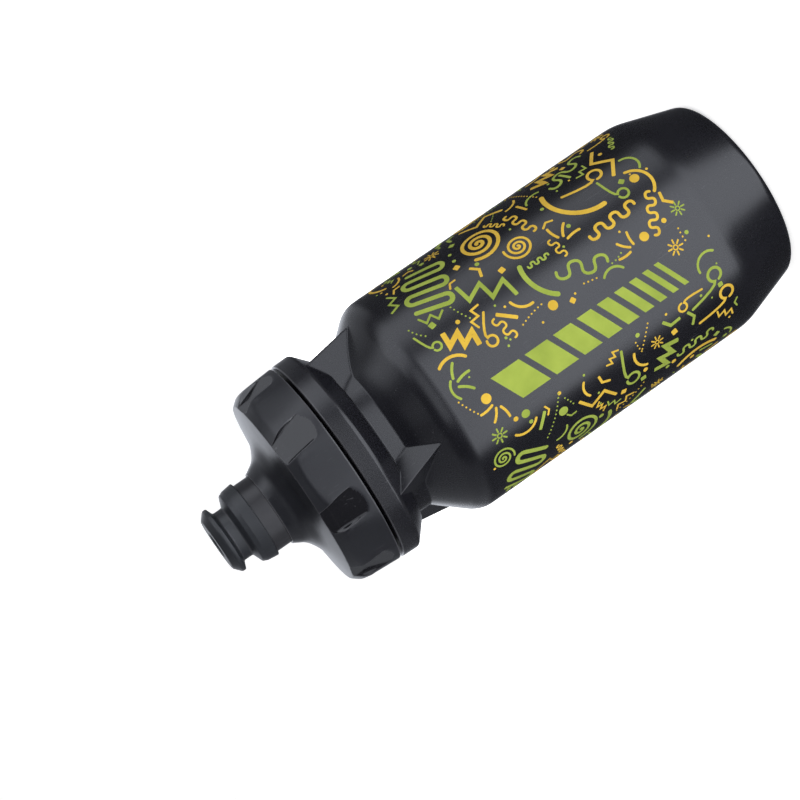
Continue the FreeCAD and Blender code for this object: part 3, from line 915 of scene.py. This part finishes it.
def boomerang(rng, size):
    """A blunt boomerang with a wide corner."""
    ends = Vector((-size * 0.9, size * 0.3)), Vector((size * 0.8, size * 0.35))
    points = [ends[0], Vector((0, -size * 0.15)), ends[1]]
    return [(points, 0.32 * size, True)]


def fan(rng, size):
    """Three short bowed strokes that spread from one point."""
    strokes = []
    for k, lean in enumerate((-48, 0, 48)):
        line = [p - Vector((2.2 * size, 0)) for p in arc(2.2 * size, -14, 14, 8)]
        turn = Matrix.Rotation(math.radians(lean), 2)
        moved = [turn @ (Vector((p.x, p.y)) + Vector((0, size))) for p in line]
        strokes.append((moved, 0.2 * size, False))
    return strokes


def turned_strokes(strokes, angle, centre):
    turn = Matrix.Rotation(angle, 2)
    return [([turn @ p + centre for p in points], width, blunt) for points, width, blunt in strokes]


class PrintSheet:
    """The flat sheet round the bottle, with what is already taken marked on a fine grid."""

    CELL = 0.5

    def __init__(self):
        self.length = 2 * math.pi * BODY_R
        self.across = int(self.length / self.CELL)
        self.up = int((PRINT_TOP_Z - PRINT_LOW_Z) / self.CELL)
        self.taken = np.zeros((self.across, self.up), dtype=bool)
        self.inks = {"yellow": [], "green": []}

    def cells(self, strokes, margin):
        """The grid cells under the strokes, or None where they leave the sheet's top or bottom."""
        found = set()
        for points, width, _ in strokes:
            reach = width / 2 + margin
            span = int(reach / self.CELL) + 1
            for point in evenly(points, 0.8):
                if not PRINT_LOW_Z + width / 2 < point.y < PRINT_TOP_Z - width / 2:
                    return None
                i0 = int(point.x / self.CELL)
                j0 = int((point.y - PRINT_LOW_Z) / self.CELL)
                for i in range(i0 - span, i0 + span + 1):
                    for j in range(j0 - span, j0 + span + 1):
                        off_x = point.x - (i + 0.5) * self.CELL
                        off_y = point.y - PRINT_LOW_Z - (j + 0.5) * self.CELL
                        if math.hypot(off_x, off_y) <= reach and 0 <= j < self.up:
                            found.add((i % self.across, j))
        return found

    def lay(self, strokes, ink, margin):
        """Prints the strokes if they fit on free cells with that margin, and says whether they did."""
        cells = self.cells(strokes, margin)
        if cells is None or any(self.taken[cell] for cell in cells):
            return False
        for cell in self.cells(strokes, 0.0):
            self.taken[cell] = True
        self.inks[ink].extend(ink_patch(stroke_rows(*stroke)) for stroke in strokes)
        return True

    def lay_bars(self, centre_x, low, high, height):
        """A row of slanted bars along the bottle, each narrower than the last, between two heights."""
        widths = [10.0 * 0.8**k for k in range(9)]
        gap = (high - low - sum(widths)) / (len(widths) - 1)
        lean = 0.5 * height
        z = high
        for width in widths:
            middle = z - width / 2
            z -= width + gap
            a = Vector((centre_x - height / 2, middle + lean / 2))
            b = Vector((centre_x + height / 2, middle - lean / 2))
            rows = [(a.lerp(b, i / 12), Vector((0, 1)), width / 2) for i in range(13)]
            self.inks["green"].append(ink_patch(rows))
            for cell in self.cells([([a, b], width, True)], 1.0) or ():
                self.taken[cell] = True


def make_print(yellow, green):
    rng = random.Random(PRINT_SEED)
    sheet = PrintSheet()
    for middle in (10.7, 10.7 + math.pi * BODY_R):
        sheet.lay_bars(middle, low=41.0, high=101.5, height=10.5)
    # What is drawn, its smallest and largest size, how many are wanted and the margin round each.
    plan = [
        (meander, 8.0, 8.6, 5, 0.9),
        (spiral, 6.4, 7.2, 6, 1.0),
        (bow, 10.0, 12.5, 8, 0.9),
        (steps_down, 6.2, 7.0, 9, 0.9),
        (spiral, 3.8, 4.8, 6, 0.9),
        (zigzag, 6.5, 9.0, 10, 0.8),
        (squiggle, 6.5, 8.5, 10, 0.8),
        (dots_line, 6.0, 11.0, 14, 0.7),
        (loop_line, 6.0, 7.0, 9, 0.7),
        (fan, 3.4, 4.2, 8, 0.7),
        (burst, 2.3, 2.8, 16, 0.7),
        (bow, 4.5, 6.5, 18, 0.7),
        (boomerang, 2.6, 3.6, 12, 0.7),
        (zigzag, 3.2, 4.2, 12, 0.7),
        (dash, 2.2, 3.0, 12, 0.7),
        (squiggle, 3.4, 4.4, 12, 0.7),
        (dot, 1.3, 1.6, 12, 0.7),
        (bow, 3.2, 4.4, 18, 0.6),
        (loop_line, 3.6, 4.6, 10, 0.6),
        (zigzag, 2.4, 3.0, 12, 0.6),
        (tile, 0.9, 1.2, 30, 0.6),
        (dots_line, 3.0, 5.0, 28, 0.5),
        (boomerang, 1.8, 2.2, 16, 0.5),
        (dot, 0.6, 0.9, 44, 0.5),
        (dot, 0.3, 0.45, 90, 0.4),
    ]
    for draw, small, large, wanted, margin in plan:
        placed = 0
        for _ in range(wanted * TRIES):
            centre = Vector((rng.uniform(0, sheet.length), rng.uniform(PRINT_LOW_Z, PRINT_TOP_Z)))
            strokes = draw(rng, rng.uniform(small, large))
            strokes = turned_strokes(strokes, rng.uniform(0, 2 * math.pi), centre)
            ink = "green" if rng.random() < GREEN_SHARE else "yellow"
            placed += sheet.lay(strokes, ink, margin)
            if placed >= wanted:
                break
    piece("print_yellow", sheet.inks["yellow"], [yellow], "bottle")
    piece("print_green", sheet.inks["green"], [green], "bottle")


# ------------------------ materials


class Nodes:
    """A node tree and a short way to add to it."""

    def __init__(self, tree):
        self.tree = tree

    def add(self, kind, links=None, values=None, **settings):
        node = self.tree.nodes.new(kind)
        for key, value in settings.items():
            setattr(node, key, value)
        for key, value in (values or {}).items():
            node.inputs[key].default_value = value
        for key, source in (links or {}).items():
            self.link(source, node.inputs[key])
        return node

    def link(self, source, target):
        self.tree.links.new(source, target)

    def maths(self, operation, *terms):
        """The result of a maths node. Each term is a number or a socket."""
        node = self.add("ShaderNodeMath", operation=operation)
        for socket, term in zip(node.inputs, terms):
            if isinstance(term, (int, float)):
                socket.default_value = term
            else:
                self.link(term, socket)
        return node.outputs[0]

    def mix(self, factor, a, b):
        """A mix of two colours, each a tuple or a socket."""
        node = self.add("ShaderNodeMix", {0: factor}, data_type="RGBA")
        for socket, value in ((node.inputs[6], a), (node.inputs[7], b)):
            if isinstance(value, tuple):
                socket.default_value = (*value, 1.0)
            else:
                self.link(value, socket)
        return node.outputs[2]


class Shader(Nodes):
    """A material and its nodes."""

    def __init__(self, name):
        self.material = bpy.data.materials.new(name)
        self.material.use_nodes = True
        super().__init__(self.material.node_tree)
        self.surface = self.tree.nodes["Principled BSDF"]
        self.place = self.add("ShaderNodeTexCoord").outputs["Object"]

    def noise(self, scale, detail=3.0, stretch=None, roughness=0.5):
        place = self.place
        if stretch:
            place = self.add("ShaderNodeMapping", {"Vector": place}, {"Scale": stretch}).outputs[0]
        values = {"Scale": scale, "Detail": detail, "Roughness": roughness}
        return self.add("ShaderNodeTexNoise", {"Vector": place}, values).outputs["Fac"]

    def span(self, source, low, high, from_low=0.3, from_high=0.7):
        """The source's range from from_low to from_high, made to run from low to high."""
        values = {"From Min": from_low, "From Max": from_high, "To Min": low, "To Max": high}
        return self.add("ShaderNodeMapRange", {"Value": source}, values).outputs[0]


WORN = (0.1, 0.1, 0.11)
CLOUD_SCALE = 38.0
SCRATCH_STRETCH = (2600.0, 2600.0, 130.0)
# The dark and light of each tone, the roughness, the grain's noise scale and depth in metres, the IOR.
MOULDED = {
    "body_plastic": ((0.0032, 0.0032, 0.0045), (0.005, 0.005, 0.007), 0.27, 2400.0, 0.000003, 1.5),
    "cap_plastic": ((0.0045, 0.0047, 0.0065), (0.007, 0.0073, 0.0095), 0.35, 1900.0, 0.00001, 1.5),
    "cap_gloss": ((0.004, 0.004, 0.005), (0.006, 0.006, 0.0075), 0.14, 2400.0, 0.000003, 1.5),
    "stem_plastic": ((0.005, 0.005, 0.0065), (0.008, 0.008, 0.010), 0.33, 2400.0, 0.000003, 1.41),
    "tip_rubber": ((0.008, 0.009, 0.011), (0.012, 0.013, 0.016), 0.46, 1500.0, 0.00001, 1.5),
    "seal_rubber": ((0.02, 0.02, 0.022), (0.03, 0.03, 0.033), 0.55, 1500.0, 0.00001, 1.5),
}


def moulded(name, dark, light, rough, grain, depth, ior):
    """Moulded plastic or rubber: cloudy tone, fine grain in the surface, rubbed edges and scuffs."""
    shader = Shader(name)
    clouds = shader.noise(CLOUD_SCALE, 4.0)
    fine = shader.noise(grain, 3.0, roughness=0.6)
    coarse = shader.noise(grain / 6, 2.0)
    scratch = shader.noise(1.0, 2.0, stretch=SCRATCH_STRETCH)
    scratch_mask = shader.span(scratch, 0.0, 1.0, 0.66, 0.74)
    patchy = shader.span(shader.noise(90.0, 3.0), 0.0, 1.0, 0.45, 0.7)
    marks = shader.maths("MULTIPLY", scratch_mask, patchy)
    edge = shader.add("ShaderNodeAttribute", attribute_name="wear").outputs["Fac"]
    rubbed = shader.maths("MULTIPLY", edge, shader.span(clouds, 0.15, 0.5))
    tone = shader.mix(shader.span(clouds, 0.0, 1.0), dark, light)
    tone = shader.mix(rubbed, tone, WORN)
    tone = shader.mix(shader.span(marks, 0.0, 0.35, 0.0, 1.0), tone, WORN)
    shader.link(tone, shader.surface.inputs["Base Color"])
    cloudy = shader.span(clouds, rough - 0.025, rough + 0.03)
    roughness = shader.maths("ADD", cloudy, shader.span(fine, -0.02, 0.02))
    roughness = shader.maths("ADD", roughness, shader.span(marks, 0.0, 0.06, 0.0, 1.0))
    shader.link(roughness, shader.surface.inputs["Roughness"])
    height = shader.maths("ADD", fine, shader.span(coarse, 0.0, 0.6))
    bump = shader.add("ShaderNodeBump", {"Height": height}, {"Strength": 1.0, "Distance": depth})
    shader.link(bump.outputs[0], shader.surface.inputs["Normal"])
    shader.surface.inputs["IOR"].default_value = ior
    return shader.material


def ink(name, colour, deep):
    """Screen-printed ink. The deep colour shows in faint clouds and in fine pinholes."""
    shader = Shader(name)
    clouds = shader.noise(120.0, 4.0)
    fine = shader.noise(2600.0, 2.0)
    tone = shader.mix(shader.span(clouds, 0.0, 1.0), deep, colour)
    tone = shader.mix(shader.span(fine, 0.25, 0.0, 0.2, 0.36), tone, deep)
    shader.link(tone, shader.surface.inputs["Base Color"])
    shader.link(shader.span(clouds, 0.45, 0.55), shader.surface.inputs["Roughness"])
    shader.surface.inputs["Specular IOR Level"].default_value = 0.2
    bump = shader.add("ShaderNodeBump", {"Height": fine}, {"Strength": 0.6, "Distance": 0.00001})
    shader.link(bump.outputs[0], shader.surface.inputs["Normal"])
    return shader.material


# ------------------------ stage, lights and camera

# Soft boxes seen in the plastic: angles round from the front, heights, softness of the edges, all in
# degrees, and strength.
SOFT_BOXES = [
    ((-38, 74), (-13, -8), 3.5, 4.1),
    ((-38, 72), (-28, -13), 4, 3.05),
    ((-50, 38), (-110, -28), 4, 2.55),
    ((-88, -54), (-22, 5), 7, 1.9),
    ((-88, -38), (5, 50), 7, 1.9),
    ((-190, -164), (-30, 22), 5, 0.5),
    ((164, 190), (-30, 22), 5, 0.5),
    ((-190, -157), (-4, 22), 5, 1.0),
    ((157, 190), (-4, 22), 5, 0.9),
    ((-178, -108), (-4, 45), 6, 0.42),
    ((80, 178), (-4, 50), 6, 0.24),
    ((-30, 30), (4.5, 32), 3.5, 1.15),
    ((-106, -62), (46, 68), 8, 1.3),
    ((-30, 40), (66, 92), 8, 0.5),
    ((50, 110), (50, 80), 10, 0.3),
]
ROOM_GLOW = 0.07
REFLECTED_TINT = (0.93, 0.97, 1.06)
DAYLIGHT = 0.6
BACKDROP = 1.02
FLOOR_GLOW = 0.52
FLOOR_HALF = 60.0
KEY_POWER = 12.0
BACK_POWER = 9.0
LAMP_SIZE = (0.7, 0.5)

# The camera's place in metres, its lens in millimetres, and how far it looks down and aside and is
# rolled, in degrees.
CAMERA_PLACE = (0, -0.687, 0.2335)
CAMERA_LENS = 104.0
CAMERA_DOWN = 9.1
CAMERA_ASIDE = 0.372
CAMERA_ROLL = 34.75


def add_stage():
    """A large pale floor, which doesn't show in the plastic."""
    mesh = bpy.data.meshes.new("floor")
    far = FLOOR_HALF
    corners = [(-far, -far, 0), (far, -far, 0), (far, far, 0), (-far, far, 0)]
    mesh.from_pydata(corners, [], [(0, 1, 2, 3)])
    floor = bpy.data.objects.new("floor", mesh)
    bpy.context.scene.collection.objects.link(floor)
    shader = Shader("pale_floor")
    shader.surface.inputs["Base Color"].default_value = (0.9, 0.9, 0.9, 1)
    shader.surface.inputs["Roughness"].default_value = 0.9
    shader.surface.inputs["Emission Color"].default_value = (1, 1, 1, 1)
    shader.surface.inputs["Emission Strength"].default_value = FLOOR_GLOW
    mesh.materials.append(shader.material)
    floor.visible_glossy = False


def add_world():
    """A white studio. What shines in the plastic is painted on the world by direction: soft boxes in
    a darker room. Angles are measured round from the front, -Y, towards -X, and heights from the
    horizon."""
    world = bpy.data.worlds.new("studio")
    bpy.context.scene.world = world
    world.use_nodes = True
    world.cycles.sampling_method = "NONE"
    nodes = Nodes(world.node_tree)
    nodes.tree.nodes.clear()
    way = nodes.add("ShaderNodeTexCoord").outputs["Generated"]
    x, y, z = nodes.add("ShaderNodeSeparateXYZ", {0: way}).outputs
    back = nodes.maths("MULTIPLY", y, -1.0)
    aside = nodes.maths("MULTIPLY", x, -1.0)
    angle = nodes.maths("DEGREES", nodes.maths("ARCTAN2", aside, back))
    height = nodes.maths("DEGREES", nodes.maths("ARCSINE", z))

    def rise(value, middle, soft):
        """A smooth step from 0 to 1 round the middle, that far to each side."""
        span = {"From Min": middle - soft, "From Max": middle + soft}
        kind = "ShaderNodeMapRange"
        return nodes.add(kind, {"Value": value}, span, interpolation_type="SMOOTHSTEP").outputs[0]

    def soft_box(angles, heights, soft, strength):
        lit = strength
        for value, (low, high) in ((angle, angles), (height, heights)):
            past = nodes.maths("SUBTRACT", 1.0, rise(value, high, soft))
            lit = nodes.maths("MULTIPLY", rise(value, low, soft), lit)
            lit = nodes.maths("MULTIPLY", lit, past)
        return lit

    shine = ROOM_GLOW
    for box in SOFT_BOXES:
        shine = nodes.maths("ADD", shine, soft_box(*box))
    tint = {0: REFLECTED_TINT}
    reflected = nodes.add("ShaderNodeVectorMath", {"Scale": shine}, tint, operation="SCALE").outputs[0]

    path = nodes.add("ShaderNodeLightPath").outputs
    plain = nodes.mix(path["Is Camera Ray"], (DAYLIGHT,) * 3, (BACKDROP,) * 3)
    chosen = nodes.mix(path["Is Glossy Ray"], plain, reflected)
    background = nodes.add("ShaderNodeBackground", {0: chosen}).outputs[0]
    nodes.add("ShaderNodeOutputWorld", {0: background})


def add_lamp(name, place, power):
    """A large soft lamp that points at the middle of the bottle. It isn't seen in the plastic."""
    data = bpy.data.lights.new(name, "AREA")
    data.shape = "RECTANGLE"
    data.size, data.size_y = LAMP_SIZE
    data.energy = power
    lamp = bpy.data.objects.new(name, data)
    bpy.context.scene.collection.objects.link(lamp)
    lamp.location = place
    middle = Vector((0, 0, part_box("bottle_body")[1][2] / 2))
    lamp.rotation_euler = (middle - lamp.location).to_track_quat("-Z", "Y").to_euler()
    lamp.visible_camera = False
    lamp.visible_glossy = False


def add_camera():
    """A long lens in front of the bottle and a little above it, rolled so that the spout points to
    the lower left."""
    data = bpy.data.cameras.new("camera")
    camera = bpy.data.objects.new("camera", data)
    bpy.context.scene.collection.objects.link(camera)
    data.sensor_width = 36.0
    data.lens = CAMERA_LENS
    down = math.radians(CAMERA_DOWN)
    aside = math.radians(CAMERA_ASIDE)
    roll = math.radians(CAMERA_ROLL)
    level = Vector((0, math.cos(down), -math.sin(down)))
    left = Vector((-1, 0, 0))
    base_way = Vector((0, -math.sin(down), -math.cos(down)))
    forward = level * math.cos(aside) - left * math.sin(aside)
    across = left * math.cos(aside) + level * math.sin(aside)
    right = base_way * math.cos(roll) + across * math.sin(roll)
    lower = across * math.cos(roll) - base_way * math.sin(roll)
    turn = Matrix((right, -lower, -forward)).transposed().to_4x4()
    turn.translation = Vector(CAMERA_PLACE)
    camera.matrix_world = turn
    bpy.context.scene.camera = camera


# ------------------------ the scene

plastic = {name: moulded(name, *values) for name, values in MOULDED.items()}
yellow_ink = ink("yellow_ink", colour=(0.48, 0.315, 0.034), deep=(0.37, 0.235, 0.02))
green_ink = ink("green_ink", colour=(0.218, 0.275, 0.042), deep=(0.165, 0.215, 0.028))

add_camera()
add_stage()
add_world()
add_lamp("key", (-0.3, -1.0, 0.3), KEY_POWER)
add_lamp("back_fill", (0.35, 1.0, 0.35), BACK_POWER)
make_bottle(plastic["body_plastic"])
make_cap(plastic["cap_plastic"], plastic["cap_gloss"])
make_carrier(plastic["stem_plastic"])
make_tip(plastic["tip_rubber"])
make_gasket(plastic["seal_rubber"])
make_seal(plastic["seal_rubber"])
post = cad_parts["valve_post"]
post.data.materials.clear()
post.data.materials.append(plastic["stem_plastic"])
make_print(yellow_ink, green_ink)

bpy.context.scene.view_settings.view_transform = "Standard"
